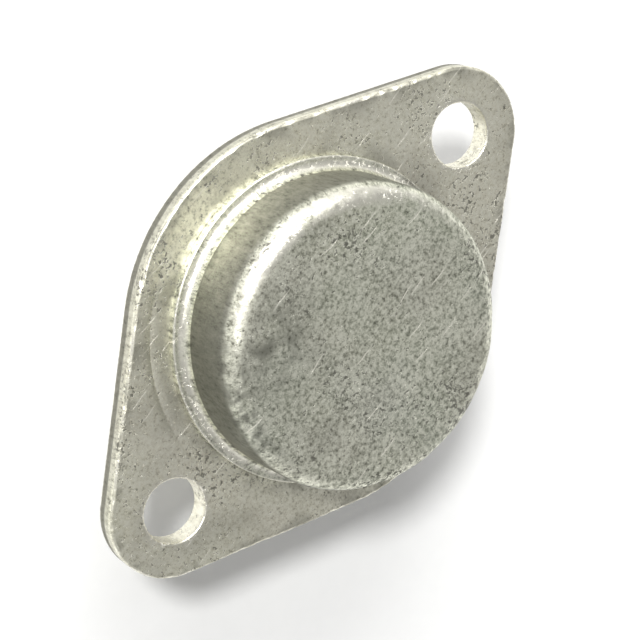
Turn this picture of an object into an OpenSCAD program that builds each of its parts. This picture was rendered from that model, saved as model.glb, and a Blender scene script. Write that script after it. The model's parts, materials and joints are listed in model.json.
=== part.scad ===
// Power transistor in a two-lead diamond-flange metal can.
// The underside of the base plate lies on Z = 0 with the cap above it and the leads below.
// X runs through the mounting holes, and the leads stand nearer the hole on +X.

/* [Base plate] */
// Distance between the centres of the two mounting holes
hole_pitch = 30.15; // [29.5:0.05:31]
// Diameter of each mounting hole
hole_d = 4.2; // [3.8:0.05:4.6]
// Radius rolled onto the rims of the mounting holes
hole_rim_r = 0.15; // [0.05:0.05:0.3]
// Overall length of the plate, from ear to ear
plate_length = 39; // [38.2:0.1:40]
// Overall width of the plate
plate_width = 26; // [24.5:0.1:27.5]
// Thickness of the plate
plate_t = 1.6; // [1.4:0.1:2.4]
// Radius that the press tool rolled onto the plate's top edge
plate_edge_r = 0.3; // [0.25:0.05:0.4]

/* [Cap] */
// Outer diameter of the cap's wall
cap_d = 19.5; // [18.8:0.1:20.2]
// Height of the cap above the plate
cap_height = 6; // [5.2:0.1:7]
// Thickness of the drawn sheet
cap_t = 0.5; // [0.35:0.05:0.6]
// Radius between the cap's wall and its flat top
cap_crown_r = 1.4; // [0.9:0.05:2]
// How far the welded brim stands out from the wall
brim_w = 0.85; // [0.7:0.05:1.1]
// Radius between the brim and the wall
brim_fillet_r = 0.65; // [0.4:0.05:0.7]
// Radius on the outer edge of the brim
brim_edge_r = 0.15; // [0.05:0.05:0.25]
// Radius of the bend inside the cap's foot
foot_bend_r = 0.3; // [0.1:0.05:0.5]

/* [Leads] */
// Distance between the two leads
lead_pitch = 10.92; // [10.4:0.02:11.4]
// Distance of the line of leads from the middle of the plate
lead_offset = 1.815; // [1.5:0.005:2.2]
// Diameter of each lead where it passes through the glass
lead_d = 1; // [0.8:0.05:1.2]
// Thickness of the tin that coats each lead below the plate
tin_t = 0.025; // [0.01:0.005:0.05]
// Bare length of each lead between the plate and the tin
tin_gap = 0.3; // [0.1:0.1:1]
// Length of each lead below the plate
lead_length = 12; // [8:0.1:14]
// Chamfer on both ends of each lead
lead_chamfer = 0.15; // [0.05:0.05:0.3]

/* [Glass seals] */
// Diameter of each glass seal and of its hole in the plate
seal_d = 3.5; // [3:0.1:3.9]
// Depth of the glass edge inside each face of the plate
seal_recess = 0.12; // [0.05:0.01:0.25]
// Depth of the hollow that the glass forms between its hole and the lead
seal_dish = 0.2; // [0.1:0.02:0.3]

/* [Heat slug] */
// Diameter of the slug where it shows in the underside of the plate
slug_d = 8; // [7:0.1:8.4]
// Room between the slug's shoulder and the cap's wall
slug_room = 0.85; // [0.6:0.05:1.4]
// Width of the slug's shoulder, which is brazed on top of the plate
slug_shoulder = 0.8; // [0.4:0.1:1]
// Height of the slug above the plate
slug_rise = 0.8; // [0.5:0.1:1.2]
// Chamfer on the slug's edges
slug_chamfer = 0.1; // [0.05:0.01:0.2]

/* [Die] */
// Width of the square silicon die
die_w = 5.2; // [4.4:0.1:5.6]
// Thickness of the die below its raised top
die_t = 0.25; // [0.2:0.05:0.35]
// Height of the raised top, the mesa
mesa_t = 0.1; // [0.05:0.01:0.15]
// Width of the etched step around the mesa
mesa_step = 0.25; // [0.15:0.05:0.4]

/* [Clips] */
// Thickness of the clip strip
clip_t = 0.25; // [0.15:0.05:0.35]
// Width of the emitter clip
emitter_clip_w = 1.8; // [1.4:0.1:2]
// Width of the base clip
base_clip_w = 1.1; // [0.8:0.1:1.4]
// Length of each clip's foot on the die
clip_foot = 1.2; // [0.8:0.1:1.5]
// Height of each clip above the die where it rings its lead
clip_rise = 0.9; // [0.6:0.1:1.5]
// Width of the ring that each clip has around its lead
clip_ring_w = 0.45; // [0.3:0.05:0.6]
// Length of each lead that shows above its clip
lead_stub = 0.4; // [0.2:0.1:0.8]

/* [Hidden] */
$fn = 96;
overcut = 1;

ear_r = (plate_length - hole_pitch) / 2;
middle_r = plate_width / 2;
ear_x = hole_pitch / 2;
hole_r = hole_d / 2;
lead_r = lead_d / 2;
lead_y = lead_pitch / 2;
seal_r = seal_d / 2;
slug_r = slug_d / 2;
cap_r = cap_d / 2;
cap_inner_r = cap_r - cap_t;
brim_r = cap_r + brim_w;
slug_offset = cap_inner_r - slug_room - slug_shoulder - slug_r;
slug_top = plate_t + slug_rise;
mesa_top = slug_top + die_t + mesa_t;
clip_z = mesa_top + clip_rise;
lead_top = clip_z + clip_t + lead_stub;

// Angle from the X axis at which the plate's straight sides touch its round ends
side_angle = acos((middle_r - ear_r) / ear_x);

// Where each clip's foot stands on the die, measured from the middle of the die
emitter_foot = [0.08 * die_w, 0.2 * die_w];
base_foot = [0.2 * die_w, -0.29 * die_w];

// Places a child on the axis of the lead on the given side, 1 for +Y and -1 for -Y
module at_lead(side) {
    translate([lead_offset, side * lead_y, 0]) children();
}

// Section of a disc whose top edge is rolled over, as the half plane to revolve
module rolled_section(r) {
    square([r, plate_t - plate_edge_r]);
    square([r - plate_edge_r, plate_t]);
    translate([r - plate_edge_r, plate_t - plate_edge_r]) circle(plate_edge_r);
}

module rolled_disc(r) {
    rotate_extrude() intersection() {
        rolled_section(r);
        square([r, plate_t]);
    }
}

// Outline of the plate between its middle and the ear on +X, moved in by inset
module ear_web(inset) {
    middle = (middle_r - inset) * [cos(side_angle), sin(side_angle)];
    ear = [ear_x, 0] + (ear_r - inset) * [cos(side_angle), sin(side_angle)];
    polygon([middle, ear, [ear.x, -ear.y], [middle.x, -middle.y]]);
}

// One straight side of the plate's rolled top edge
module rolled_side() {
    side_run = ear_x * sin(side_angle);
    start = (middle_r - plate_edge_r) * [cos(side_angle), sin(side_angle)];
    translate([start.x, start.y, plate_t - plate_edge_r])
        rotate([0, 90, side_angle - 90])
            cylinder(r = plate_edge_r, h = side_run);
}

// Cutter for a mounting hole, flared by the rolled rims at both faces of the plate
module hole_cutter() {
    flare_r = hole_r + hole_rim_r;
    rotate_extrude() difference() {
        translate([0, -overcut]) square([flare_r, plate_t + 2 * overcut]);
        translate([flare_r, hole_rim_r]) circle(hole_rim_r);
        translate([flare_r, plate_t - hole_rim_r]) circle(hole_rim_r);
        translate([hole_r, hole_rim_r]) square([flare_r, plate_t - 2 * hole_rim_r]);
    }
}

module base_plate() {
    color("#b4b2a4") difference() {
        union() {
            rolled_disc(middle_r);
            for (end = [0, 180]) rotate(end) {
                translate([ear_x, 0, 0]) rolled_disc(ear_r);
                linear_extrude(plate_t - plate_edge_r) ear_web(0);
                linear_extrude(plate_t) ear_web(plate_edge_r);
                rolled_side();
                mirror([0, 1, 0]) rolled_side();
            }
        }
        for (end = [-1, 1]) translate([end * ear_x, 0, 0]) hole_cutter();
        for (side = [-1, 1]) at_lead(side)
            translate([0, 0, -overcut]) cylinder(r = seal_r, h = plate_t + 2 * overcut);
        translate([-slug_offset, 0, -overcut]) cylinder(r = slug_r, h = plate_t + 2 * overcut);
    }
}

// Copper slug: a spigot through the plate and a shouldered pad that carries the die
module heat_slug() {
    pad_r = slug_r + slug_shoulder;
    color("#b9a58c") translate([-slug_offset, 0, 0]) rotate_extrude() polygon([
        [0, 0], [slug_r - slug_chamfer, 0], [slug_r, slug_chamfer], [slug_r, plate_t], [pad_r, plate_t],
        [pad_r, slug_top - slug_chamfer], [pad_r - slug_chamfer, slug_top], [0, slug_top]
    ]);
}

// Glass bead fused between the plate and a lead, hollowed on both faces by surface tension
module seal() {
    half_gap = (seal_r - lead_r) / 2;
    dish_r = (half_gap ^ 2 + seal_dish ^ 2) / (2 * seal_dish);
    dish_centre = dish_r - seal_dish;
    color("#16171a") rotate_extrude() difference() {
        translate([lead_r, seal_recess]) square([2 * half_gap, plate_t - 2 * seal_recess]);
        translate([lead_r + half_gap, seal_recess - dish_centre]) circle(dish_r);
        translate([lead_r + half_gap, plate_t - seal_recess + dish_centre]) circle(dish_r);
    }
}

module emitter_seal() {
    at_lead(1) seal();
}

module base_seal() {
    at_lead(-1) seal();
}

// Straight wire with chamfered ends, tinned on the length that is soldered or plugged in
module lead() {
    tin_r = lead_r + tin_t;
    color("#a8a698") rotate_extrude() polygon([
        [0, -lead_length], [tin_r - lead_chamfer, -lead_length], [tin_r, -lead_length + lead_chamfer],
        [tin_r, -tin_gap], [lead_r, -tin_gap],
        [lead_r, lead_top - lead_chamfer], [lead_r - lead_chamfer, lead_top], [0, lead_top]
    ]);
}

module emitter_lead() {
    at_lead(1) lead();
}

module base_lead() {
    at_lead(-1) lead();
}

// Square chip with an etched step that leaves a raised mesa
module silicon_die() {
    mesa_w = die_w - 2 * mesa_step;
    color("#5c6067") translate([-slug_offset, 0, slug_top]) {
        translate([-die_w / 2, -die_w / 2, 0]) cube([die_w, die_w, die_t]);
        translate([-mesa_w / 2, -mesa_w / 2, 0]) cube([mesa_w, mesa_w, die_t + mesa_t]);
    }
}

// Strip that rings the lead on the given side, steps down and ends in a foot on the die
module clip(side, foot_place, width) {
    reach = [-slug_offset - lead_offset, -side * lead_y] + foot_place;
    foot_x = norm(reach) - clip_foot / 2;
    bend_x = (lead_r + clip_ring_w + foot_x) / 2;
    ring_r = lead_r + clip_ring_w;
    color("#c2b9a4") at_lead(side) rotate(atan2(reach.y, reach.x)) difference() {
        union() {
            translate([0, width / 2, 0]) rotate([90, 0, 0]) linear_extrude(width) polygon([
                [0, clip_z], [bend_x, clip_z], [foot_x, mesa_top], [foot_x + clip_foot, mesa_top],
                [foot_x + clip_foot, mesa_top + clip_t], [foot_x, mesa_top + clip_t],
                [bend_x, clip_z + clip_t], [0, clip_z + clip_t]
            ]);
            translate([0, 0, clip_z]) cylinder(r = ring_r, h = clip_t);
        }
        translate([0, 0, clip_z - overcut]) cylinder(r = lead_r, h = clip_t + 2 * overcut);
    }
}

module emitter_clip() {
    clip(1, emitter_foot, emitter_clip_w);
}

module base_clip() {
    clip(-1, base_foot, base_clip_w);
}

// Half section of the cap's outer face, from the plate up
module cap_outside() {
    crown_x = cap_r - cap_crown_r;
    crown_z = cap_height - cap_crown_r;
    square([crown_x, cap_height]);
    square([cap_r, crown_z]);
    translate([crown_x, crown_z]) circle(cap_crown_r);
    square([brim_r - brim_edge_r, cap_t]);
    square([brim_r, cap_t - brim_edge_r]);
    translate([brim_r - brim_edge_r, cap_t - brim_edge_r]) circle(brim_edge_r);
    translate([cap_r, cap_t]) difference() {
        square(brim_fillet_r);
        translate([brim_fillet_r, brim_fillet_r]) circle(brim_fillet_r);
    }
}

// Half section of the room inside the cap, open at the plate
module cap_inside() {
    inner_top = cap_height - cap_t;
    crown_r = cap_crown_r - cap_t;
    translate([0, -overcut]) square([cap_inner_r, overcut + inner_top - crown_r]);
    square([cap_inner_r - crown_r, inner_top]);
    translate([cap_inner_r - crown_r, inner_top - crown_r]) circle(crown_r);
    translate([cap_inner_r, 0]) difference() {
        translate([0, -overcut]) square([foot_bend_r, overcut + foot_bend_r]);
        translate([foot_bend_r, foot_bend_r]) circle(foot_bend_r);
    }
}

// Drawn steel cap, welded to the plate all round its brim
module cap() {
    color("#b1b0a3") translate([0, 0, plate_t]) rotate_extrude() difference() {
        intersection() {
            cap_outside();
            square([brim_r, cap_height]);
        }
        cap_inside();
    }
}

base_plate();
heat_slug();
emitter_seal();
base_seal();
emitter_lead();
base_lead();
silicon_die();
emitter_clip();
base_clip();
cap();
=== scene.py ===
"""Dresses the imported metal-can power transistor and sets it in a plain studio.

Each sub-assembly is a class whose sizes are dataclass fields in millimetres. Its shape is worked out
as whole numpy arrays, in the part's own frame: Z = 0 is the seat of the base plate, +Z points to the
cap, and X runs through the screw holes.
"""
import json
import logging
import math
from dataclasses import dataclass
from enum import Enum, IntEnum
from functools import partial
from typing import Any, Callable, Sequence

import bmesh
import bpy
import numpy as np
from mathutils import Matrix, Vector
from mathutils.geometry import delaunay_2d_cdt


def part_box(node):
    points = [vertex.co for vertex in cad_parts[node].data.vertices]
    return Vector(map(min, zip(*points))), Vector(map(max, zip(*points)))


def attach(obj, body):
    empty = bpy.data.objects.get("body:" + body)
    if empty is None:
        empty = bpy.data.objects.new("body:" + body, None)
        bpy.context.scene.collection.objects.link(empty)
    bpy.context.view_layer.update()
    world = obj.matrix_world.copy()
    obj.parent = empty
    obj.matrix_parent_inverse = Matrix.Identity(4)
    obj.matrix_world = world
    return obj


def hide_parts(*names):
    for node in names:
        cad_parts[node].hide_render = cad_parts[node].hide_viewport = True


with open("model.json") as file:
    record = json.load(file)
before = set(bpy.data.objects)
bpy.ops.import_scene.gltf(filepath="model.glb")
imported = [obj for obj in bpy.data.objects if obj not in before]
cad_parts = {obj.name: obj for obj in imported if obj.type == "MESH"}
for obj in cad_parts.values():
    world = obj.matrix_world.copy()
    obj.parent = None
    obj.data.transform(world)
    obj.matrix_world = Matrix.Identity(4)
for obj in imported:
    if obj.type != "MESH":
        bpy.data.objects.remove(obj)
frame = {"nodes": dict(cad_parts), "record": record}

log = logging.getLogger("transistor")
Array = np.ndarray
Colour = tuple[float, float, float, float]
Socket = bpy.types.NodeSocket
Put = Callable[..., Any]
# Centre, radius and number of steps of a hole.
Hole = tuple[Array, float, int]
# Gain, spacing in millimetres and seed of one random field in a sum of them.
Field = tuple[float, float, int]
MM = 0.001
# Points that are nearer than this are one, and edges that are shorter than this vanish.
MERGE_MM = 2e-4
SLIVER_MM = 1e-5
BODY = "root"

# Node settings that come up again and again.
SMOOTH = {"interpolation_type": "SMOOTHSTEP"}
TIMES = {"operation": "MULTIPLY"}
LESS = {"operation": "SUBTRACT"}
LARGER = {"operation": "MAXIMUM"}
COLOURS = {"output": 2, "data_type": "RGBA"}
# The span that a noise texture keeps to over most of a surface.
NOISE_SPAN = (0.3, 0.7)
# Steps round the slug and round its hole in the plate.
SLUG_STEPS = 120


class Slot(Enum):
    """The record's material slots that new pieces take."""

    PLATE = "plate_nickel"
    CAP = "cap_nickel"
    SLUG = "slug_copper"
    GLASS = "black_glass"
    LEAD = "lead_tin"


class Seed(IntEnum):
    """Seeds of the random fields; each field of knocks takes the next number too."""

    FACE_UNEVEN = 5
    EDGE_KNOCKS = 11
    EDGE_RUB = 13
    CROWN_KNOCKS = 21
    SKIN_SLOW = 23
    SKIN_QUICK = 24
    SMUDGE = 25
    SOOT_LARGE = 26
    SOOT_FINE = 27
    TIN_RUNS = 31
    GRIME_LARGE = 41
    GRIME_FINE = 42


# Shapes


def arc(centre: Sequence[float], radius: float, start: float, stop: float, count: int) -> Array:
    """Points on a circle at even steps in degrees, start to stop: centre + radius * (cos a, sin a)."""
    angle = np.radians(np.linspace(start, stop, count))
    return np.asarray(centre) + radius * np.c_[np.cos(angle), np.sin(angle)]


def run(start: Sequence[float], stop: Sequence[float], count: int) -> Array:
    """Evenly spaced points on a straight line from start to stop, both included."""
    return np.linspace(start, stop, count)


def bell(value: Array, middle: float, width: float) -> Array:
    """A smooth bump that is 1 at middle: exp(-((value - middle) / width) squared)."""
    return np.exp(-((value - middle) / width) ** 2)


def swell(points: Array, size: float, seed: int, waves: int = 24) -> Array:
    """A smooth random field: the scaled sum of plane waves with random directions and phases.

    The waves' lengths lie between 0.6 and 1.6 times size.

    Args:
        points: Places to measure, as rows of coordinates.
        size: Typical distance between crests, in the units of points.
        seed: Seed of the random directions, phases and lengths.
        waves: Number of waves.

    Returns:
        One value for each point, with a spread of about 1.
    """
    rng = np.random.default_rng(seed)
    heading = rng.normal(size=(waves, points.shape[1]))
    heading /= np.linalg.norm(heading, axis=1, keepdims=True)
    number = 2 * np.pi / (size * rng.uniform(0.6, 1.6, waves))
    phase = rng.uniform(0, 2 * np.pi, waves)
    return np.sin(points @ (heading * number[:, None]).T + phase).sum(1) * math.sqrt(2 / waves)


def patches(points: Array, level: float, fields: Sequence[Field], most: float = 1.0) -> Array:
    """Patches: a level plus the sum of gain times field, cut off below 0 and above most.

    Args:
        points: Places to measure, as rows of coordinates.
        level: Middle of the patches.
        fields: Gain, spacing and seed of each random field.
        most: Highest value.

    Returns:
        One value for each point, from 0 to most.
    """
    total = np.full(len(points), level)
    for gain, size, seed in fields:
        total += gain * swell(points, size, seed)
    return np.clip(total, 0, most)


def knocks(points: Array, size: float, seed: int, level: float = 0.9) -> Array:
    """Depth of dents: what rises above level in a random field and, at half depth, in a finer one."""
    large = np.clip(swell(points, size, seed) - level, 0, 1.2)
    return large + 0.5 * np.clip(swell(points, 0.42 * size, seed + 1) - level, 0, 1)


def grid_faces(rows: int, columns: int) -> Array:
    """Quads of a grid that is stored row by row and closes on itself along its rows.

    Args:
        rows: Number of rows.
        columns: Number of points in a row.

    Returns:
        Indices of the corners, as rows of four.
    """
    index = np.arange(rows * columns).reshape(rows, columns)
    after = np.roll(index, -1, axis=1)
    return np.stack([index[:-1], after[:-1], after[1:], index[1:]], -1).reshape(-1, 4)


@dataclass
class Shape:
    """A mesh in the making, with its points in millimetres and a value of wear and painted light for each
    point.

    The value is above 0 where the metal is rubbed bright or a painted highlight is laid, and below 0
    where grime gathers or painted shade is laid.
    """

    points: Array
    faces: list[Array]
    wear: Array

    def joined(self, other: "Shape") -> "Shape":
        """Both shapes as one, with the other's indices moved on.

        Args:
            other: Shape to add.

        Returns:
            A new shape that holds both.
        """
        moved = [face + len(self.points) for face in other.faces]
        points = np.vstack([self.points, other.points])
        return Shape(points, self.faces + moved, np.concatenate([self.wear, other.wear]))

    def placed(self, name: str, smooth_angle: float = 40.0) -> bpy.types.Object:
        """Makes the mesh object, with its place in its mesh, its doubles merged and its faces outward.

        Args:
            name: Name of the piece.
            smooth_angle: Edges sharper than this, in degrees, stay sharp.

        Returns:
            The new object, linked to the scene.
        """
        mesh = bpy.data.meshes.new(name)
        polygons = sum((face.tolist() for face in self.faces), [])
        mesh.from_pydata((self.points * MM).tolist(), [], polygons)
        # Each point's wear and grime, with painted highlight and painted shade, for the material.
        wear = mesh.attributes.new("wear", "FLOAT", "POINT")
        wear.data.foreach_set("value", self.wear.astype(np.float32))
        work = bmesh.new()
        work.from_mesh(mesh)
        bmesh.ops.remove_doubles(work, verts=work.verts, dist=MERGE_MM * MM)
        bmesh.ops.dissolve_degenerate(work, dist=SLIVER_MM * MM, edges=work.edges)
        bmesh.ops.recalc_face_normals(work, faces=work.faces)
        work.to_mesh(mesh)
        work.free()
        mesh.shade_smooth()
        mesh.set_sharp_from_angle(angle=math.radians(smooth_angle))
        piece = bpy.data.objects.new(name, mesh)
        bpy.context.scene.collection.objects.link(piece)
        return piece


def revolved(section: Array, around: int, centre: Sequence[float] = (0.0, 0.0)) -> Shape:
    """A section turned about a vertical axis: (r, z) becomes (x + r cos a, y + r sin a, z).

    Args:
        section: Points (distance from the axis, height); the first and last may lie on the axis.
        around: Number of steps in the full turn.
        centre: Place (x, y) of the axis.

    Returns:
        The grid of points, section point by section point, with its faces and no wear or painted light.
    """
    angle = np.linspace(0, 2 * np.pi, around, endpoint=False)
    ring = np.c_[np.cos(angle), np.sin(angle)]
    flat = section[:, 0][:, None, None] * ring[None] + np.asarray(centre)
    height = np.broadcast_to(section[:, 1][:, None, None], (len(section), around, 1))
    points = np.concatenate([flat, height], axis=2).reshape(-1, 3)
    return Shape(points, [grid_faces(len(section), around)], np.zeros(len(points)))


def normals_of(section: Array) -> Array:
    """Normals of a section: its tangent by central differences, turned by a quarter turn.

    Args:
        section: Points of the section, in order.

    Returns:
        A unit normal for each point, to the left of the way along the section.
    """
    tangent = np.gradient(section, axis=0)
    tangent /= np.maximum(np.linalg.norm(tangent, axis=1, keepdims=True), 1e-9)
    return np.c_[-tangent[:, 1], tangent[:, 0]]


# Materials


def linear(code: str) -> Colour:
    """Turns an sRGB hex value into a linear colour with full alpha.

    Args:
        code: The value, as #rrggbb.

    Returns:
        Red, green, blue and alpha.
    """
    share = np.array([int(code[i:i + 2], 16) for i in (1, 3, 5)]) / 255
    value = np.where(share <= 0.04045, share / 12.92, ((share + 0.055) / 1.055) ** 2.4)
    return (float(value[0]), float(value[1]), float(value[2]), 1.0)


def per_mm(size: float) -> float:
    """Scale of a pattern whose features are size millimetres apart, on coordinates in metres."""
    return 1.0 / (size * MM)


def add(tree: bpy.types.NodeTree, kind: str, inputs: dict[Any, Any] | Sequence[Any] = (),
        output: int | str = 0, **settings: Any) -> Socket | None:
    """Adds a node with its settings, socket values and links.

    Args:
        tree: Tree that takes the node.
        kind: The node's type, without the prefix that all of them share.
        inputs: Values or sockets to link, in the order of the node's inputs or by name or number.
        output: Name or number of the output to return.
        settings: Properties of the node.

    Returns:
        The output socket, or None where the node has none.
    """
    made = tree.nodes.new("ShaderNode" + kind)
    for name, value in settings.items():
        setattr(made, name, value)
    for socket, value in inputs.items() if isinstance(inputs, dict) else enumerate(inputs):
        if isinstance(value, Socket):
            tree.links.new(value, made.inputs[socket])
        else:
            made.inputs[socket].default_value = value
    return made.outputs[output] if len(made.outputs) else None


def new_material(name: str) -> tuple[bpy.types.Material, Put, Socket]:
    """Starts a material.

    Args:
        name: Name of the material.

    Returns:
        The material, the function that adds a node to its tree, and Object coordinates.
    """
    material = bpy.data.materials.new(name)
    material.use_nodes = True
    material.node_tree.nodes.clear()
    put = partial(add, material.node_tree)
    return material, put, put("TexCoord", output="Object")


@dataclass(frozen=True)
class PlatedSteel:
    """Dull nickel plate on pressed steel: a warm grey metal with a grainy, pitted and scratched skin.

    The plate is matt because the steel below was rough. Dirt darkens its pits, handling stains it in
    patches, and edges that rub are polished bright. Painted highlights are laid on as bare metal and
    painted shade as dirt, where a piece's wear values ask for them.
    """

    name: str
    light: str
    dark: str
    roughness: float
    # Colour of dirt, also laid as painted shade.
    dirt: str = "#34332c"
    # Colour of bare metal, also laid as painted highlights.
    bare: str = "#faf7ea"
    # The real grain is about 0.1 mm and the real pits about 0.05 mm: both are drawn coarser, to show.
    grain_mm: float = 0.3
    pit_mm: float = 0.28
    # Scale of the grain along Z beside the other two: below 1 it is drawn out down the wall.
    draw: float = 0.35
    mottle_mm: float = 1.8
    mottle_share: float = 0.25
    smudge_mm: float = 6.5
    patch_mm: float = 4.5
    # Speckle at which the skin is fully light or dark, and at which its roughness ends, with those ends.
    speckle_reach: float = 0.16
    rough_reach: float = 0.2
    rough_ends: tuple[float, float] = (0.1, -0.08)
    # Share of the faint tints in the skin.
    tint: float = 0.05
    # Grime and painted shade that cover the skin, and what they then leave of pits and scratches and of the
    # speckle.
    grime_full: float = 0.6
    grime_clear: float = 0.2
    grime_calm: float = 0.4
    # Levels of noise at which smudges, dark flecks, dense pits and spots of rubbing and painted highlight
    # begin and are full.
    smudge_span: tuple[float, float] = (0.5, 0.75)
    fleck_span: tuple[float, float] = (0.46, 0.3)
    dense_span: tuple[float, float] = (0.36, 0.7)
    spot_span: tuple[float, float] = (0.36, 0.52)
    # Least share of a rubbed edge or painted highlight that shows bare metal.
    spot_least: float = 0.2
    # Level of the pits' noise at which a pit begins and how soft its edge is, and how far a patch
    # lowers or raises that noise and rubbing and painted highlights raise it.
    pit_edge: float = 0.6
    pit_soft: float = 0.07
    pit_patch: tuple[float, float] = (-0.05, 0.06)
    pit_rub: float = 0.02
    # Share of dirt in pits, in dark grain and in smudges, and of bare metal where rubbed, scratched or
    # painted as a highlight.
    pit_dirt: float = 0.85
    fleck_dirt: float = 0.65
    stain: float = 0.28
    bare_share: float = 0.85
    # What a pit adds to the roughness, what rubbing and painted highlights take off it, and how far dirt in
    # a pit is no metal.
    pit_dull: float = 0.25
    rub_gloss: float = 0.16
    pit_not_metal: float = 0.5
    # Length of a scratch, its width as a share of that, its sway, the share of places with one and how
    # softly that is cut off, and the distances from its middle, as shares, between which it fades in.
    scratch_mm: float = 5.0
    scratch_width: float = 0.045
    scratch_sway_mm: float = 1.5
    scratch_share: float = 0.05
    scratch_soft: float = 0.02
    scratch_span: tuple[float, float] = (0.2, 0.1)
    # Headings of the scratches in degrees, each with its own place in the pattern, in metres.
    scratch_headings: tuple[tuple[float, float], ...] = ((-38.0, 0.0), (12.0, 0.013), (71.0, 0.029))
    # Height of the relief, and how deep pits and scratches are in it beside the grain.
    relief_mm: float = 0.02
    pit_depth: float = 1.2
    scratch_depth: float = 0.5

    def pits(self, put: Put, place: Socket, polish: Socket) -> Socket:
        """Ragged dark pits: the crests of a fine noise, more of them in patches, on rubbed edges and under
        painted highlights.

        Args:
            put: Adds a node to the material.
            place: Coordinates.
            polish: Rubbing and painted highlight on the surface, from 0 to 1.

        Returns:
            1 in a pit and 0 outside.
        """
        fine = put("TexNoise", {
            "Vector": place, "Scale": per_mm(self.pit_mm), "Detail": 4.0, "Roughness": 0.65,
            "Distortion": 0.5})
        patch = put("TexNoise", {"Vector": place, "Scale": per_mm(self.patch_mm), "Detail": 2.0})
        dense = put("MapRange", (patch, *self.dense_span, *self.pit_patch), **SMOOTH)
        rub_and_highlight = put("Math", (polish, self.pit_rub), **TIMES)
        raised = put("Math", (put("Math", (fine, dense)), rub_and_highlight))
        full = self.pit_edge + self.pit_soft
        return put("MapRange", (raised, self.pit_edge, full, 0.0, 1.0), **SMOOTH)

    def scratches(self, put: Put, place: Socket, sway: Socket) -> Socket:
        """Short scratches: cells drawn out along three headings and bent, with most of them left out.

        Args:
            put: Adds a node to the material.
            place: Coordinates.
            sway: Slow noise that bends the scratches.

        Returns:
            1 on a scratch and 0 beside it.
        """
        bend = put("VectorMath", {0: sway, "Scale": self.scratch_sway_mm * MM}, operation="SCALE")
        bent = put("VectorMath", (place, bend))
        long, narrow = per_mm(self.scratch_mm), per_mm(self.scratch_width * self.scratch_mm)
        bare = 1.0 - self.scratch_share
        total: Any = 0.0
        for heading, offset in self.scratch_headings:
            turned = put("Mapping", {
                "Vector": bent, "Rotation": (0.0, 0.0, math.radians(heading)),
                "Location": (offset, offset, 0.0), "Scale": (long, narrow, 1.0)})
            reach = put("TexVoronoi", {"Vector": turned, "Scale": 1.0}, voronoi_dimensions="2D")
            chance = put("SeparateColor", (reach.node.outputs["Color"],))
            kept = put("MapRange", (chance, bare, bare + self.scratch_soft, 0.0, 1.0), **SMOOTH)
            stroke = put("MapRange", (reach, *self.scratch_span, 0.0, 1.0), **SMOOTH)
            total = put("Math", (total, put("Math", (kept, stroke), **TIMES)), **LARGER)
        return total

    def material(self) -> bpy.types.Material:
        """Builds the node material.

        Returns:
            The material, which reads Object coordinates and the piece's values of wear and painted light.
        """
        material, put, place = new_material(self.name)
        drawn = put("Mapping", {"Vector": place, "Scale": (1.0, 1.0, self.draw)})
        grain = put("TexNoise", {
            "Vector": drawn, "Scale": per_mm(self.grain_mm), "Detail": 5.0, "Roughness": 0.8})
        mottle = put("TexNoise", {
            "Vector": place, "Scale": per_mm(self.mottle_mm), "Detail": 6.0, "Roughness": 0.68})
        smudge = put("TexNoise", {
            "Vector": place, "Scale": per_mm(self.smudge_mm), "Detail": 3.0, "Roughness": 0.5})
        hue = smudge.node.outputs["Color"]
        wear = put("Attribute", output="Fac", attribute_name="wear")
        polish = put("MapRange", (wear, 0.0, 1.0, 0.0, 1.0), **SMOOTH)
        grime = put("MapRange", (wear, 0.0, -1.0, 0.0, 1.0), **SMOOTH)
        clear = put("MapRange", (grime, 0.0, self.grime_full, 1.0, self.grime_clear), **SMOOTH)
        pits = put("Math", (self.pits(put, place, polish), clear), **TIMES)
        scratches = put("Math", (self.scratches(put, place, hue), clear), **TIMES)

        # The matt skin: light and dark speckle, calmer under grime and painted shade.
        speckle = put("Math", (grain, put("Math", (mottle, self.mottle_share), **TIMES)))
        middle = 0.5 * (1 + self.mottle_share)
        calm = put("MapRange", (grime, 0.0, self.grime_full, 1.0, self.grime_calm), **SMOOTH)
        calmed = put("Math", (put("Math", (speckle, middle), **LESS), calm), **TIMES)
        even = put("MapRange", (calmed, -self.speckle_reach, self.speckle_reach, 0.0, 1.0), **SMOOTH)
        tone = put("Mix", {0: even, 6: linear(self.dark), 7: linear(self.light)}, **COLOURS)
        tone = put("Mix", {0: self.tint, 6: tone, 7: hue}, blend_type="OVERLAY", **COLOURS)

        # Grime in smudges, and grime with painted shade where the wear values ask for it, all in the dirt
        # colour; then dirt in the dark grain and in the pits.
        stain = put("MapRange", (smudge, *self.smudge_span, 0.0, self.stain), **SMOOTH)
        grimy_and_shaded = put("Math", (stain, grime), **LARGER)
        tone = put("Mix", {0: grimy_and_shaded, 6: tone, 7: linear(self.dirt)}, **COLOURS)
        flecks = put("MapRange", (grain, *self.fleck_span, 0.0, self.fleck_dirt), **SMOOTH)
        dirty = put("Math", (put("Math", (pits, self.pit_dirt), **TIMES), flecks), **LARGER)
        tone = put("Mix", {0: dirty, 6: tone, 7: linear(self.dirt)}, **COLOURS)

        # Bright bare metal where edges rub and along scratches, and painted highlights in the same colour.
        patchy = put("MapRange", (mottle, *self.spot_span, self.spot_least, 1.0), **SMOOTH)
        rub_and_highlight = put("Math", (polish, patchy), **TIMES)
        bright = put("Math", (rub_and_highlight, scratches), **LARGER)
        shown = put("Math", (bright, self.bare_share), **TIMES)
        tone = put("Mix", {0: shown, 6: tone, 7: linear(self.bare)}, **COLOURS)

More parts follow.
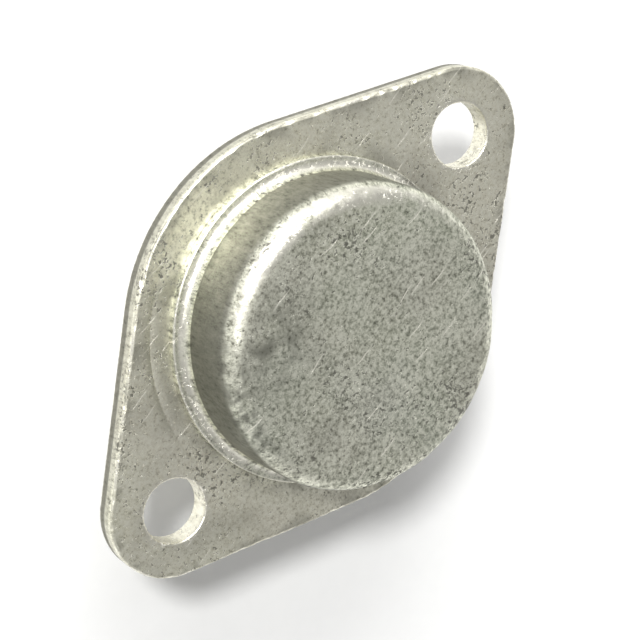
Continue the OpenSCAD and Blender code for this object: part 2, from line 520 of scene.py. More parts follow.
        # Dirt is dull and no metal; rubbed metal and painted highlights are glossier than the skin.
        low, high = middle - self.rough_reach, middle + self.rough_reach
        ends = [self.roughness + more for more in self.rough_ends]
        dull = put("MapRange", (speckle, low, high, *ends), **SMOOTH)
        dull = put("Math", (dull, put("Math", (pits, self.pit_dull), **TIMES)))
        dull = put("Math", (dull, put("Math", (rub_and_highlight, self.rub_gloss), **TIMES)), **LESS)
        metal = put("Math", (1.0, put("Math", (pits, self.pit_not_metal), **TIMES)), **LESS)

        # Relief: the grain stands up, and pits and scratches are cut in.
        height = put("Math", (speckle, put("Math", (pits, self.pit_depth), **TIMES)), **LESS)
        height = put("Math", (height, put("Math", (scratches, self.scratch_depth), **TIMES)), **LESS)
        bump = put("Bump", {"Height": height, "Strength": 0.7, "Distance": self.relief_mm * MM})
        surface = put("BsdfPrincipled", {
            "Base Color": tone, "Metallic": metal, "Roughness": dull, "Normal": bump})
        put("OutputMaterial", {"Surface": surface})
        return material


@dataclass(frozen=True)
class TinnedWire:
    """Dip-tinned wire: a soft grey metal with faint runs along the wire and dull blotches."""

    name: str = "tinned_wire"
    light: str = "#a9a79b"
    dark: str = "#807f74"
    # Roughness from the dullest blotches to the brightest.
    roughness: tuple[float, float] = (0.5, 0.3)
    # Width of a run and its length in widths, the blotches, and the span of their sum.
    run_mm: float = 0.25
    run_length: float = 9.0
    blotch_mm: float = 1.3
    tone_span: tuple[float, float] = (0.65, 1.35)
    relief_mm: float = 0.02

    def material(self) -> bpy.types.Material:
        """Builds the node material.

        Returns:
            The material, which reads Object coordinates.
        """
        material, put, place = new_material(self.name)
        across, along = per_mm(self.run_mm), per_mm(self.run_length * self.run_mm)
        drawn = put("Mapping", {"Vector": place, "Scale": (across, across, along)})
        # Tin runs down the wire as it cools, and dulls in blotches.
        runs = put("TexNoise", {"Vector": drawn, "Scale": 1.0, "Detail": 3.0})
        blotch = put("TexNoise", {"Vector": place, "Scale": per_mm(self.blotch_mm), "Detail": 4.0})
        share = put("Math", (runs, blotch))
        even = put("MapRange", (share, *self.tone_span, 0.0, 1.0), **SMOOTH)
        tone = put("Mix", {0: even, 6: linear(self.dark), 7: linear(self.light)}, **COLOURS)
        dull = put("MapRange", (blotch, *NOISE_SPAN, *self.roughness), **SMOOTH)
        bump = put("Bump", {"Height": share, "Strength": 0.4, "Distance": self.relief_mm * MM})
        surface = put("BsdfPrincipled", {
            "Base Color": tone, "Metallic": 1.0, "Roughness": dull, "Normal": bump})
        put("OutputMaterial", {"Surface": surface})
        return material


@dataclass(frozen=True)
class SealingGlass:
    """Black sealing glass, fire polished: glossy, with faint swirls and dust that stuck to it soft."""

    name: str = "sealing_glass"
    black: str = "#131418"
    grey: str = "#33353a"
    ior: float = 1.52
    # Roughness from the clearest glass to the swirls.
    roughness: tuple[float, float] = (0.08, 0.2)
    # Largest share of grey in the swirls and in the dust, and where both begin and end.
    grey_share: float = 0.5
    swirl_mm: float = 0.8
    swirl_span: tuple[float, float] = (0.45, 0.8)
    dust_mm: float = 0.25
    dust_span: tuple[float, float] = (0.22, 0.1)
    relief_mm: float = 0.03

    def material(self) -> bpy.types.Material:
        """Builds the node material.

        Returns:
            The material, which reads Object coordinates.
        """
        material, put, place = new_material(self.name)
        swirl = put("TexNoise", {
            "Vector": place, "Scale": per_mm(self.swirl_mm), "Detail": 4.0, "Distortion": 1.2})
        dust = put("TexVoronoi", {"Vector": place, "Scale": per_mm(self.dust_mm)})
        # Grey swirls in the black, with pale specks of dust on top.
        specks = put("MapRange", (dust, *self.dust_span, 0.0, self.grey_share), **SMOOTH)
        clouds = put("MapRange", (swirl, *self.swirl_span, 0.0, self.grey_share), **SMOOTH)
        share = put("Math", (clouds, specks), **LARGER)
        tone = put("Mix", {0: share, 6: linear(self.black), 7: linear(self.grey)}, **COLOURS)
        dull = put("MapRange", (swirl, *NOISE_SPAN, *self.roughness), **SMOOTH)
        bump = put("Bump", {"Height": swirl, "Strength": 0.3, "Distance": self.relief_mm * MM})
        surface = put("BsdfPrincipled", {
            "Base Color": tone, "IOR": self.ior, "Roughness": dull, "Normal": bump})
        put("OutputMaterial", {"Surface": surface})
        return material


@dataclass(frozen=True)
class SealedSurface:
    """A clean surface sealed inside the can, with only the fine grain that its making left."""

    name: str
    light: str
    dark: str
    roughness: float
    grain_mm: float
    rough_ends: tuple[float, float] = (-0.05, 0.08)
    metallic: float = 1.0
    relief_mm: float = 0.01

    def material(self) -> bpy.types.Material:
        """Builds the node material.

        Returns:
            The material, which reads Object coordinates.
        """
        material, put, place = new_material(self.name)
        # Etching or rolling leaves a soft grain and nothing more.
        grain = put("TexNoise", {
            "Vector": place, "Scale": per_mm(self.grain_mm), "Detail": 5.0, "Roughness": 0.6})
        even = put("MapRange", (grain, *NOISE_SPAN, 0.0, 1.0), **SMOOTH)
        tone = put("Mix", {0: even, 6: linear(self.dark), 7: linear(self.light)}, **COLOURS)
        ends = [self.roughness + more for more in self.rough_ends]
        dull = put("MapRange", (grain, *NOISE_SPAN, *ends), **SMOOTH)
        bump = put("Bump", {"Height": grain, "Strength": 0.3, "Distance": self.relief_mm * MM})
        surface = put("BsdfPrincipled", {
            "Base Color": tone, "Metallic": self.metallic, "Roughness": dull, "Normal": bump})
        put("OutputMaterial", {"Surface": surface})
        return material


Finish = PlatedSteel | TinnedWire | SealingGlass | SealedSurface


# Sub-assemblies


def carried(piece: bpy.types.Object, node: str) -> bpy.types.Object:
    """Rides a piece on the part's one body, in place of the node that it stands for.

    Args:
        piece: The new piece.
        node: Node of the model that it replaces.

    Returns:
        The same piece.
    """
    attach(piece, BODY)
    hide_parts(node)
    log.info("%s: %d faces in place of %s", piece.name, len(piece.data.polygons), node)
    return piece


def coat(piece: bpy.types.Object, finish: Finish) -> None:
    """Gives a piece its finish, whose material is built when it is first asked for.

    Args:
        piece: Piece to dress.
        finish: What its surface is made of.
    """
    material = bpy.data.materials.get(finish.name) or finish.material()
    piece.data.materials.clear()
    piece.data.materials.append(material)
    log.info("%s: %s", piece.name, finish.name)


def corner_mm(node: str) -> tuple[Array, Array]:
    """Lowest and highest corners of a node, in millimetres."""
    low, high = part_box(node)
    return np.array(low) / MM, np.array(high) / MM


@dataclass
class BasePlate:
    """Stamped diamond plate: a round middle and two ears joined by tangents, with screw and seal holes."""

    length: float
    thickness: float
    hole_pitch: float
    hole_r: float
    lead_place: Array
    seal_r: float
    slug_place: Array
    slug_r: float
    width: float = 26.0
    # The rolled top edge, the screw holes' rolled rims, and a guard row of faces beside both.
    edge_r: float = 0.2
    rim_r: float = 0.15
    margin: float = 0.06
    # The sheared wall: height of its torn part, how deep that lies, and the step to the smooth part.
    tear_h: float = 0.68
    tear_depth: float = 0.05
    tear_step: float = 0.1
    # Depth and spacing of the knocks on the top edge and of the face's unevenness.
    knock_depth: float = 0.07
    knock_mm: float = 1.5
    uneven: float = 0.02
    uneven_mm: float = 5.0
    # A mark pressed in by a clamp, and the power of the height that keeps it to the top face.
    mark_depth: float = 0.03
    mark_r: float = 11.9
    mark_w: float = 0.05
    mark_angle: float = 140.0
    mark_spread: float = 35.0
    mark_power: int = 9
    # Grime that gathers along the edge, and grime with painted shade round the cap's brim, how wide it
    # lies, and its patches.
    brim_r: float = 10.6
    grime: float = 0.42
    grime_w: float = 1.1
    grime_level: float = 0.5
    grime_fields: tuple[Field, ...] = ((0.5, 2.6, Seed.GRIME_LARGE), (0.3, 0.9, Seed.GRIME_FINE))
    # Grime on the torn and the smooth part of the wall.
    tear_grime: float = 0.65
    wall_grime: float = 0.35
    # How bright the rolled edge is rubbed, in which lengths, and how bright the punch left the holes.
    edge_rub: float = 0.5
    edge_rub_mm: float = 3.5
    hole_rub: float = 0.55
    # Steps on each arc and side of the outline and round the screw and seal holes.
    steps: int = 90
    screw_steps: int = 96
    seal_steps: int = 64
    # Mesh size of the faces, the room round a rim as a share of it, the smallest gap that counts, and
    # the distance at which the filling welds points.
    mesh_mm: float = 0.55
    room_share: float = 0.4
    hair: float = 1e-4
    weld: float = 1e-6

    @property
    def ear_r(self) -> float:
        """Radius of each ear."""
        return (self.length - self.hole_pitch) / 2

    def outline(self) -> tuple[Array, Array, Array]:
        """The edge as centre + (radius - inset) * normal, once round.

        Along each arc the centre and radius stay and the normal turns; along each straight side
        the normal stays, and the centre and radius go evenly from one arc's to the next one's.

        Returns:
            Centres, radii and normals of the points.
        """
        middle_r, ear_x = self.width / 2, self.hole_pitch / 2
        lean = math.acos((middle_r - self.ear_r) / ear_x)
        turns = [(-lean, lean, ear_x, self.ear_r), (lean, math.pi - lean, 0.0, middle_r),
                 (math.pi - lean, math.pi + lean, -ear_x, self.ear_r),
                 (math.pi + lean, 2 * math.pi - lean, 0.0, middle_r)]
        share = np.linspace(0, 1, self.steps, endpoint=False)
        centres, radii, angles = [], [], []
        for (start, stop, x, radius), after in zip(turns, turns[1:] + turns[:1]):
            angles += [start + share * (stop - start), np.full(self.steps, stop)]
            centres += [np.full(self.steps, x), x + share * (after[2] - x)]
            radii += [np.full(self.steps, radius), radius + share * (after[3] - radius)]
        angle = np.concatenate(angles)
        centre = np.c_[np.concatenate(centres), np.zeros(len(angle))]
        return centre, np.concatenate(radii), np.c_[np.cos(angle), np.sin(angle)]

    def rim_section(self) -> Array:
        """Section of the sheared edge: torn in two waves below, straight above, rolled on top.

        Returns:
            Points (inset, height), from the seat upward.
        """
        top = self.thickness - self.edge_r
        share = np.linspace(0, 1, 9)
        tear = np.c_[self.tear_depth * np.cos(1.5 * np.pi * share) ** 2, self.tear_h * share]
        wall = run([0.0, self.tear_h + self.tear_step], [0.0, top], 5)
        roll = arc((self.edge_r, top), self.edge_r, 180, 90, 9)[1:]
        return np.vstack([tear, wall, roll, [[self.edge_r + self.margin, self.thickness]]])

    def rim(self) -> Shape:
        """The edge section carried round the outline, nicked along the rolled edge where it was knocked.

        A nick moves a point inward along the roll's own normal (cos a, sin a), by a depth that fades
        to nothing at both ends of the roll, so the faces beside it stay whole.

        Returns:
            The wall and the rolled edge.
        """
        centre, radius, normal = self.outline()
        section = self.rim_section()
        base = centre + radius[:, None] * normal
        roll = np.clip((section[:, 1] - self.thickness + self.edge_r) / self.edge_r, 0, 1)
        fade = np.sin(2 * np.arcsin(roll))
        depth = self.knock_depth * fade[:, None] * knocks(base, self.knock_mm, Seed.EDGE_KNOCKS)[None]
        inset = section[:, 0][:, None] + depth * np.sqrt(1 - roll ** 2)[:, None]
        height = section[:, 1][:, None] - depth * roll[:, None]
        flat = centre[None] + (radius[None] - inset)[..., None] * normal[None]
        points = np.concatenate([flat, height[..., None]], axis=2).reshape(-1, 3)
        torn = section[:, 1] < self.tear_h + self.hair
        grimy_and_shaded = np.where(torn, -self.tear_grime, -self.wall_grime)
        rub_and_highlight = self.edge_rub * np.clip(swell(base, self.edge_rub_mm, Seed.EDGE_RUB), -1, 2)
        wear = np.where(roll[:, None] > 0, fade[:, None] * rub_and_highlight[None], grimy_and_shaded[:, None])
        return Shape(points, [grid_faces(len(section), len(base))], wear.reshape(-1))

    def holes(self) -> list[Hole]:
        """Finds every hole in the plate.

        Returns:
            Centre, radius and number of steps of each.
        """
        ear = np.array([self.hole_pitch / 2, 0.0])
        screws = [(side * ear, self.hole_r, self.screw_steps) for side in (-1, 1)]
        seals = [(self.lead_place * (1, side), self.seal_r, self.seal_steps) for side in (-1, 1)]
        return screws + seals + [(self.slug_place, self.slug_r, SLUG_STEPS)]

    def hole_section(self, radius: float) -> Array:
        """Section of a hole's wall: rolled at both faces in a screw hole, and plain in the others.

        Args:
            radius: Radius of the hole.

        Returns:
            Points (distance from the hole's axis, height), from the seat upward.
        """
        if radius != self.hole_r:
            return run([radius, 0.0], [radius, self.thickness], 2)
        wide, top = radius + self.rim_r, self.thickness - self.rim_r
        low = arc((wide, self.rim_r), self.rim_r, 270, 180, 6)
        high = arc((wide, top), self.rim_r, 180, 90, 6)
        outer = wide + self.margin
        return np.vstack([[[outer, 0.0]], low, high, [[outer, self.thickness]]])

    def depth_inside(self, places: Array) -> Array:
        """Depth of places inside the outline: the least of radius - (place - centre) . normal round it."""
        centre, radius, normal = self.outline()
        return ((centre * normal).sum(1) + radius - places @ normal.T).min(1)

    def inside(self, places: Array, inset: float, rims: list[Hole], gap: float) -> Array:
        """Whether each place lies inside the outline by inset and outside every rim by gap.

        Args:
            places: Points to test, as rows of two.
            inset: Least distance from the outline.
            rims: Centre, radius and steps of each hole's rim.
            gap: Least distance from a rim.

        Returns:
            True or False for each place.
        """
        good = self.depth_inside(places) > inset
        for place, rim_r, _ in rims:
            good &= np.hypot(*(places - place).T) > rim_r + gap
        return good

    def face(self, height: float, inset: float, rings: Array) -> Shape:
        """A flat face: the outline and hole rims, filled with triangles over an even grid of points.

        Args:
            height: Height of the face.
            inset: Distance of the face's edge inside the plate's outline.
            rings: Radii of further circles of points about the middle, for a mark pressed into the face.

        Returns:
            The face as triangles.
        """
        centre, radius, normal = self.outline()
        rims = [(place, self.hole_section(hole_r)[0, 0], steps) for place, hole_r, steps in self.holes()]
        circles = rims + [(np.zeros(2), ring, 3 * self.steps) for ring in rings]
        loops = [centre + (radius - inset)[:, None] * normal]
        loops += [place + arc((0, 0), rim_r, 0, 360, steps + 1)[:-1] for place, rim_r, steps in circles]
        room = self.room_share * self.mesh_mm
        axes = [np.arange(-side / 2, side / 2, self.mesh_mm) for side in (self.length, self.width)]
        inner = np.stack(np.meshgrid(*axes), -1).reshape(-1, 2)
        inner = inner[self.inside(inner, inset + room, rims, room)]
        for ring in rings:
            inner = inner[np.abs(np.hypot(*inner.T) - ring) > room]
        starts = np.cumsum([0] + [len(loop) for loop in loops])
        edges = [np.c_[np.arange(len(loop)), np.roll(np.arange(len(loop)), -1)] + start
                 for loop, start in zip(loops, starts)]
        flat = np.vstack(loops + [inner])
        made = delaunay_2d_cdt(flat.tolist(), np.vstack(edges).tolist(), [], 0, self.weld)
        points, faces = np.array(made[0]), np.array(made[2])
        faces = faces[self.inside(points[faces].mean(1), inset + self.hair, rims, self.hair)]
        return Shape(np.c_[points, np.full(len(points), height)], [faces], np.zeros(len(points)))

    def shape(self) -> Shape:
        """The whole plate, uneven by a few hundredths: the top moves by a slow field less the mark.

        Returns:
            The closed shape.
        """
        section = self.rim_section()
        marks = self.mark_r + self.mark_w * np.array([-1, 0, 1])
        whole = self.rim().joined(self.face(self.thickness, section[-1, 0], marks))
        whole = whole.joined(self.face(0.0, section[0, 0], marks[:0]))
        for place, radius, steps in self.holes():
            wall = self.hole_section(radius)
            hole = revolved(wall, steps, place)
            rolled = np.sin(np.pi * np.clip((wall[:, 0] - radius) / self.rim_r, 0, 1))
            hole.wear = np.repeat(np.maximum(rolled, self.hole_rub), steps)
            whole = whole.joined(hole)
        flat = whole.points[:, :2]
        top = np.clip(whole.points[:, 2] / self.thickness, 0, 1)
        reach, turn = np.hypot(*flat.T), np.degrees(np.arctan2(flat[:, 1], flat[:, 0]))
        mark = bell(reach, self.mark_r, self.mark_w) * bell(turn, self.mark_angle, self.mark_spread)
        # Darker near the outline with grime, and round the cap's brim with grime and a painted contact
        # shadow.
        level = whole.points[:, 2] > self.thickness - self.hair
        border = bell(self.depth_inside(flat), 0, self.grime_w) + bell(reach, self.brim_r, self.grime_w)
        whole.wear -= self.grime * level * patches(flat, self.grime_level, self.grime_fields) * border
        rise = self.uneven * top * swell(flat, self.uneven_mm, Seed.FACE_UNEVEN)
        whole.points[:, 2] += rise - self.mark_depth * top ** self.mark_power * mark
        return whole

    def build(self) -> bpy.types.Object:
        """Makes the plate."""
        return carried(self.shape().placed("plate"), "base_plate")

    def dress(self, plate: bpy.types.Object, finish: PlatedSteel) -> None:
        """Plates it."""
        coat(plate, finish)


@dataclass
class Cap:
    """Drawn can: a flat top, a rounded crown, a straight wall, a filleted foot and a welded brim."""

    foot: float
    top: float
    brim_r: float
    wall_r: float = 9.75
    sheet: float = 0.5
    crown_r: float = 1.4
    fillet_r: float = 0.65
    brim_edge_r: float = 0.15
    bend_r: float = 0.3
    # Depth and spacing of the crown's knocks and of the skin's slow and quick unevenness.
    knock_depth: float = 0.05
    knock_mm: float = 1.1
    slow_uneven: float = 0.012
    slow_mm: float = 4.5
    quick_uneven: float = 0.006
    quick_mm: float = 1.8
    # Tilt and spread in degrees of the bands of painted highlight, with some rubbing, on the crown and in
    # the fillet.
    crown_tilt: float = 36.0
    crown_spread: float = 27.0
    fillet_tilt: float = 30.0
    fillet_spread: float = 28.0
    # Painted shade down the wall, in the dirt colour, the tilt at which it begins, and how many degrees
    # later it is full.
    wall_grime: float = 0.6
    grime_tilt: float = 44.0
    grime_spread: float = 30.0
    # Where round the crown its painted highlight is brightest and where painted shade darkens it in spots,
    # in degrees, and how far both spread.
    rub_angle: float = 72.0
    soot_angle: float = 150.0
    side_spread: float = 46.0
    # Painted highlight all round the crown and more of it on one side, and painted shade in spots on the
    # other.
    crown_rub: float = 0.2
    side_rub: float = 1.5
    soot: float = 0.8
    soot_level: float = 0.6
    soot_fields: tuple[Field, ...] = ((0.3, 1.0, Seed.SOOT_LARGE), (0.2, 0.4, Seed.SOOT_FINE))
    # A blotchy smudge on the top, with a paler and wider painted shade round it, and their share past the
    # level top.
    smudge_place: tuple[float, float] = (-4.4, 5.2)
    smudge_r: float = 2.6
    smudge: float = 0.28
    smudge_level: float = 0.7
    smudge_fields: tuple[Field, ...] = ((0.4, 1.6, Seed.SMUDGE),)
    smudge_most: float = 1.4
    halo: float = 0.2
    halo_share: float = 2.5
    level_tilt: float = 20.0
    past_level: float = 0.3
    around: int = 384

    def outer_section(self) -> Array:
        """Outer half section: straight runs joined by quarter circles.

        Returns:
            Points from the middle of the top to the underside of the brim.
        """
        crown = (self.wall_r - self.crown_r, self.top - self.crown_r)
        brim_top = self.foot + self.sheet
        fillet = (self.wall_r + self.fillet_r, brim_top + self.fillet_r)
        edge = (self.brim_r - self.brim_edge_r, brim_top - self.brim_edge_r)
        return np.vstack([
            run([0.0, self.top], [crown[0], self.top], 30)[:-1],
            arc(crown, self.crown_r, 90, 0, 22),
            run([self.wall_r, crown[1]], [self.wall_r, fillet[1]], 16)[1:-1],
            arc(fillet, self.fillet_r, 180, 270, 14),
            arc(edge, self.brim_edge_r, 90, 0, 7),
            run([self.brim_r, edge[1]], [self.brim_r, self.foot], 3)[1:],
        ])

    def inner_section(self) -> Array:
        """Inner half section: the outer one less the sheet's thickness, with a bend at the foot.

        Returns:
            Points from the underside of the brim to the middle of the top.
        """
        inner_r, inner_top = self.wall_r - self.sheet, self.top - self.sheet
        bend = (inner_r + self.bend_r, self.foot + self.bend_r)
        crown_r = self.crown_r - self.sheet
        crown = (inner_r - crown_r, inner_top - crown_r)
        return np.vstack([
            arc(bend, self.bend_r, 270, 180, 6), arc(crown, crown_r, 0, 90, 7), [[0.0, inner_top]]])

    def handled(self, skin: Array, tilt: Array, crown: Array) -> Array:
        """Wear and painted light that depend on the place: a painted highlight on one side of the crown and
        painted shade in spots on the other, and a smudge on top with painted shade round it.

        Args:
            skin: Points of the outer skin.
            tilt: Tilt of the skin from level, in degrees.
            crown: How much of the crown's band of painted highlight each point has, from 0 to 1.

        Returns:
            The wear at each point.
        """
        side = np.degrees(np.arctan2(skin[:, 1], skin[:, 0]))
        # Painted shade in spots on one side of the crown.
        spots = patches(skin, self.soot_level, self.soot_fields)
        soot = self.soot * bell(side, self.soot_angle, self.side_spread) * spots
        # Painted highlight all round the crown, strongest on one side.
        highlight = self.crown_rub + self.side_rub * bell(side, self.rub_angle, self.side_spread)
        reach = np.linalg.norm(skin[:, :2] - np.array(self.smudge_place), axis=1)
        blotch = patches(skin, self.smudge_level, self.smudge_fields, self.smudge_most)
        smudge = self.smudge * bell(reach, 0, self.smudge_r) * blotch
        # Painted shade spread wide round the smudge.
        halo = self.halo * bell(reach, 0, self.halo_share * self.smudge_r)
        level = np.where(tilt < self.level_tilt, 1.0, self.past_level)
        return crown * (highlight - soot) - level * (smudge + halo)

    def shape(self) -> Shape:
        """The shell: the section turned about Z, its outer skin moved along its normal.

        The move is two random fields, slow and quick, less the knocks on the crown.

        Returns:
            The closed shape.
        """
        outer = self.outer_section()
        normal = normals_of(outer)
        tilt = np.degrees(np.arccos(np.clip(np.abs(normal[:, 1]), 0, 1)))
        # The crown's band and the fillet's band are painted highlights, with some rubbing.
        on_crown = (outer[:, 1] > self.top - self.crown_r) & (outer[:, 0] > self.wall_r - self.crown_r)
        crown = np.where(on_crown, bell(tilt, self.crown_tilt, self.crown_spread), 0.0)
        in_fillet = outer[:, 1] < self.foot + self.sheet + self.fillet_r
        fillet = bell(tilt, self.fillet_tilt, self.fillet_spread)
        # Painted shade down the wall, in the dirt colour.
        steep = np.clip((tilt - self.grime_tilt) / self.grime_spread, 0, 1)
        wear = np.where(in_fillet, fillet, -self.wall_grime * steep)

        made = revolved(np.vstack([outer, self.inner_section()]), self.around)
        count = len(outer) * self.around
        skin = made.points[:count].copy()
        crown, tilt, wear = (np.repeat(value, self.around) for value in (crown, tilt, wear))
        made.wear[:count] = wear + self.handled(skin, tilt, crown)

        turn = np.arctan2(skin[:, 1], skin[:, 0])
        out = np.repeat(normal, self.around, axis=0)
        outward = np.c_[out[:, 0] * np.cos(turn), out[:, 0] * np.sin(turn), out[:, 1]]
        above = np.clip((skin[:, 2] - self.foot - self.sheet) / self.crown_r, 0, 1)
        slow = self.slow_uneven * swell(skin, self.slow_mm, Seed.SKIN_SLOW)
        quick = self.quick_uneven * swell(skin, self.quick_mm, Seed.SKIN_QUICK)
        dents = self.knock_depth * crown * knocks(skin, self.knock_mm, Seed.CROWN_KNOCKS)
        depth = above * (slow + quick) - dents
        made.points[:count] += depth[:, None] * outward
        return made

    def build(self) -> bpy.types.Object:
        """Makes the cap."""
        return carried(self.shape().placed("can"), "cap")

    def dress(self, can: bpy.types.Object, finish: PlatedSteel) -> None:
        """Plates it."""
        coat(can, finish)


@dataclass
class LeadAndSeal:
    """A tinned lead and the glass bead that holds it in the plate."""

    name: str
    place: Array
    tip: float
    end: float
    plate: float
    seal_r: float
    wire_r: float = 0.5
    tin: float = 0.025
    # Length of bare wire below the plate, and of the taper where the tin ends.
    tin_gap: float = 0.3
    tin_taper: float = 0.2
    # Radius of the tinned tip and of the inner end, and how uneven the tin is, as a share, in runs.
    tip_r: float = 0.3
    end_r: float = 0.15
    uneven: float = 0.018
    uneven_mm: float = 1.5
    # How far the bead lies inside both faces of the plate, and how deep its own faces are dished.
    recess: float = 0.12
    dish: float = 0.2
    wire_steps: int = 48
    bead_steps: int = 72
    bead_smooth: float = 60.0

    def wire_section(self) -> Array:
        """Half section of the lead: straight runs between a tip that the tin rounded and a rounded end.

        Returns:
            Points (distance from the lead's axis, height), from the tip upward.
        """
        tin_r = self.wire_r + self.tin
        low = arc((tin_r - self.tip_r, self.tip + self.tip_r), self.tip_r, 270, 360, 8)
        high = arc((self.wire_r - self.end_r, self.end - self.end_r), self.end_r, 0, 90, 4)
        body = run(low[-1], [tin_r, -self.tin_gap - self.tin_taper], 60)[1:]
        neck = run([self.wire_r, -self.tin_gap], [self.wire_r, self.plate], 4)
        return np.vstack([[[0.0, self.tip]], low, body, neck, high, [[0.0, self.end]]])

    def bead_section(self) -> Array:
        """Closed half section of the bead: two faces dished by circles through the hole's and lead's edges.

        Returns:
            Points (distance from the lead's axis, height), once round.
        """
        half = (self.seal_r - self.wire_r) / 2
        bow = (half ** 2 + self.dish ** 2) / (2 * self.dish)
        spread = math.degrees(math.asin(half / bow))
        middle = self.wire_r + half
        low = arc((middle, self.recess + self.dish - bow), bow, 90 + spread, 90 - spread, 18)
        top = self.plate - self.recess - self.dish + bow
        high = arc((middle, top), bow, 270 + spread, 270 - spread, 18)
        return np.vstack([low, high, low[:1]])

    def build(self) -> tuple[bpy.types.Object, bpy.types.Object]:
        """Makes the lead, thicker and thinner by a random field where the tin ran, and its bead.

        Returns:
            The lead and the bead.
        """
        lead = revolved(self.wire_section(), self.wire_steps, self.place)
        free = lead.points[:, 2] < -self.tin_gap - self.tin_taper / 2
        swollen = self.uneven * free * swell(lead.points, self.uneven_mm, Seed.TIN_RUNS)
        lead.points[:, :2] += swollen[:, None] * (lead.points[:, :2] - self.place)
        wire = carried(lead.placed(f"{self.name}_wire"), f"{self.name}_lead")
        bead = revolved(self.bead_section(), self.bead_steps, self.place)
        return wire, carried(bead.placed(f"{self.name}_bead", self.bead_smooth), f"{self.name}_seal")

    def dress(self, wire: bpy.types.Object, bead: bpy.types.Object) -> None:
        """Tins the lead and gives the bead its glass.

        Args:
            wire: The lead.
            bead: The glass bead.
        """
        coat(wire, TinnedWire())
        coat(bead, SealingGlass())


@dataclass
class HeatSlug:
    """Copper slug brazed through the plate and plated with it, flush on the underside."""

    place: Array
    pad_r: float
    plate: float
    top: float
    shoulder: float = 0.8
    chamfer: float = 0.1

    @property
    def radius(self) -> float:
        """Radius of the part that goes through the plate."""
        return self.pad_r - self.shoulder

    def build(self) -> bpy.types.Object:
        """Makes the slug: a stepped section with broken edges, turned about its own axis.

        Returns:
            The slug.
        """
        cut, low, high = self.chamfer, self.plate, self.top
        section = np.vstack([
            run([0.0, 0.0], [self.radius - cut, 0.0], 14), [[self.radius, cut], [self.radius, low]],
            [[self.pad_r, low], [self.pad_r, high - cut], [self.pad_r - cut, high], [0.0, high]]])
        return carried(revolved(section, SLUG_STEPS, self.place).placed("slug"), "heat_slug")

    def dress(self, slug: bpy.types.Object, finish: PlatedSteel) -> None:
        """Plates it."""
        coat(slug, finish)


@dataclass
class Chip:
    """Silicon die and the two clips that join it to the leads, sealed in and kept as modelled."""

    die: str = "silicon_die"
    clips: tuple[str, str] = ("emitter_clip", "base_clip")

    def dress(self) -> None:
        """Gives the die its etched silicon and the clips their plated strip."""
        silicon = SealedSurface(
            "etched_silicon", light="#7b8088", dark="#565a61", roughness=0.25, grain_mm=0.3, metallic=0.3)
        strip = SealedSurface(
            "plated_strip", light="#cdc4b0", dark="#a89f8c", roughness=0.3, grain_mm=0.2)
        coat(frame["nodes"][self.die], silicon)
        for clip in self.clips:
            coat(frame["nodes"][clip], strip)


# Studio


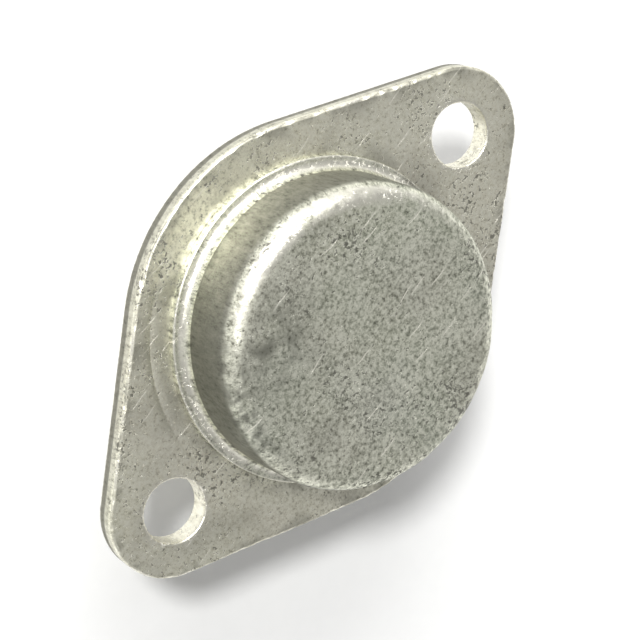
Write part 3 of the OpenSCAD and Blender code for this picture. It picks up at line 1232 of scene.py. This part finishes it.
@dataclass
class Studio:
    """A pale floor under the leads, a soft dome, two lamps, and the camera at the photograph's angle."""

    floor_z: float
    floor_side: float = 4000.0
    paper: tuple[str, str] = ("#e4e4e3", "#e8e8e7")
    fibre_mm: float = 1.2
    # Where the camera stands and how it is turned, in degrees and millimetres.
    azimuth: float = 196.2
    elevation: float = 56.6
    roll: float = 113.5
    distance: float = 134.0
    lens: float = 119.3
    aim: tuple[float, float, float] = (0.0, 0.0, 1.6)
    # The lamps' directions are to the right of the camera, above it and behind it.
    key_power: float = 2.7
    key_angle: float = 7.0
    key_place: tuple[float, float, float] = (-0.05, 0.2, 0.98)
    side_power: float = 1.6
    side_size: float = 0.2
    side_place: tuple[float, float, float] = (0.1, 0.62, 0.77)
    lamp_distance: float = 500.0
    # The dome's colours, and the sines of the heights between which one goes over into the other.
    horizon: str = "#eeeeee"
    overhead: str = "#a6a6a6"
    haze: tuple[float, float] = (0.1, 0.5)

    def back(self) -> Vector:
        """Direction from the part to the camera, from its azimuth and elevation.

        Returns:
            A vector of length 1.
        """
        turn, rise = math.radians(self.azimuth), math.radians(self.elevation)
        level = math.cos(rise)
        return Vector((math.sin(turn) * level, -math.cos(turn) * level, math.sin(rise)))

    def camera(self) -> None:
        """Places the camera and rolls it about its own axis, as the photograph is turned."""
        data = bpy.data.cameras.new("camera")
        data.lens = self.lens
        data.clip_start, data.clip_end = 0.005, 10.0
        eye = bpy.data.objects.new("camera", data)
        level = self.back().to_track_quat("Z", "Y").to_matrix()
        turned = level @ Matrix.Rotation(math.radians(self.roll), 3, "Z")
        place = (Vector(self.aim) + self.back() * self.distance) * MM
        eye.matrix_world = Matrix.Translation(place) @ turned.to_4x4()
        bpy.context.scene.collection.objects.link(eye)
        bpy.context.scene.camera = eye

    def floor(self) -> None:
        """A wide sheet of matt white paper with faint fibres, which keeps the shadow."""
        material, put, place = new_material("paper_floor")
        fibre = put("TexNoise", {"Vector": place, "Scale": per_mm(self.fibre_mm), "Detail": 3.0})
        dark, light = (linear(code) for code in self.paper)
        tone = put("Mix", {0: fibre, 6: dark, 7: light}, **COLOURS)
        surface = put("BsdfPrincipled", {"Base Color": tone, "Roughness": 0.9, "Specular IOR Level": 0.1})
        put("OutputMaterial", {"Surface": surface})
        side = np.array([-0.5, 0.5]) * self.floor_side * MM
        corners = np.stack(np.meshgrid(side, side), -1).reshape(-1, 2)
        mesh = bpy.data.meshes.new("floor")
        mesh.from_pydata(np.c_[corners, np.full(4, self.floor_z * MM)].tolist(), [], [(0, 1, 3, 2)])
        mesh.materials.append(material)
        piece = bpy.data.objects.new("floor", mesh)
        bpy.context.scene.collection.objects.link(piece)

    def hang(self, lamp: bpy.types.Light, place: Sequence[float]) -> None:
        """Hangs a lamp so that it shines at the part.

        Args:
            lamp: The lamp.
            place: Direction from the part, to the right of the camera, above it and behind it.
        """
        direction = bpy.context.scene.camera.matrix_world.to_3x3() @ Vector(place)
        box = bpy.data.objects.new(lamp.name, lamp)
        box.location = direction.normalized() * self.lamp_distance * MM
        box.rotation_euler = direction.to_track_quat("Z", "Y").to_euler()
        bpy.context.scene.collection.objects.link(box)

    def light(self) -> None:
        """The dome, pale at the horizon and grey overhead, with a key lamp and a softer one above it."""
        world = bpy.data.worlds.new("dome")
        bpy.context.scene.world = world
        world.use_nodes = True
        world.node_tree.nodes.clear()
        put = partial(add, world.node_tree)
        rise = put("SeparateXYZ", (put("TexCoord", output="Generated"),), output="Z")
        share = put("MapRange", (rise, *self.haze, 0.0, 1.0), **SMOOTH)
        tone = put("Mix", {0: share, 6: linear(self.horizon), 7: linear(self.overhead)}, **COLOURS)
        put("OutputWorld", {"Surface": put("Background", {"Color": tone, "Strength": 1.0})})
        key = bpy.data.lights.new("key", "SUN")
        key.energy, key.angle = self.key_power, math.radians(self.key_angle)
        self.hang(key, self.key_place)
        side = bpy.data.lights.new("side", "AREA")
        side.energy, side.size = self.side_power, self.side_size
        self.hang(side, self.side_place)

    def build(self) -> None:
        """Sets up the whole studio."""
        self.camera()
        self.floor()
        self.light()
        bpy.context.scene.view_settings.view_transform = "Standard"


def main() -> None:
    """Builds the sub-assemblies in order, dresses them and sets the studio."""
    logging.basicConfig(level=logging.INFO, format="%(name)s: %(message)s")
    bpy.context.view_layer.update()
    mounts = {mount["name"]: mount["dims"] for mount in frame["record"]["mounts"]}
    plate_low, plate_high = corner_mm("base_plate")
    slug_low, slug_high = corner_mm("heat_slug")
    seal_low, seal_high = corner_mm("emitter_seal")
    wire_low, wire_high = corner_mm("emitter_lead")
    cap_high = corner_mm("cap")[1]
    plate_top = plate_high[2]
    lead_place = (seal_low + seal_high)[:2] / 2
    slug_place = (slug_low + slug_high)[:2] / 2 * (1, 0)
    seal_r = (seal_high - seal_low)[1] / 2

    plate_steel = PlatedSteel(
        "plate_steel", light="#fffdec", dark="#d6d3c1", roughness=0.44, pit_edge=0.58, fleck_dirt=0.54)
    cap_steel = PlatedSteel(
        "cap_steel", light="#fdfdec", dark="#9c9d8e", roughness=0.48, pit_edge=0.565, fleck_dirt=0.66)
    slug = HeatSlug(slug_place, slug_high[0] - slug_place[0], plate_top, slug_high[2])
    plate = BasePlate(
        length=plate_high[0] - plate_low[0], thickness=plate_top,
        hole_pitch=mounts["screw_holes"]["spacing_x_mm"], hole_r=mounts["near_hole"]["r_mm"],
        lead_place=lead_place, seal_r=seal_r, slug_place=slug_place, slug_r=slug.radius)
    cap = Cap(foot=plate_top, top=cap_high[2], brim_r=cap_high[0])
    plate.dress(plate.build(), plate_steel)
    cap.dress(cap.build(), cap_steel)
    slug.dress(slug.build(), plate_steel)
    for name, side in (("emitter", 1), ("base", -1)):
        lead = LeadAndSeal(name, lead_place * (1, side), wire_low[2], wire_high[2], plate_top, seal_r)
        lead.dress(*lead.build())
    Chip().dress()

    Studio(floor_z=wire_low[2]).build()


if __name__ == "__main__":
    main()
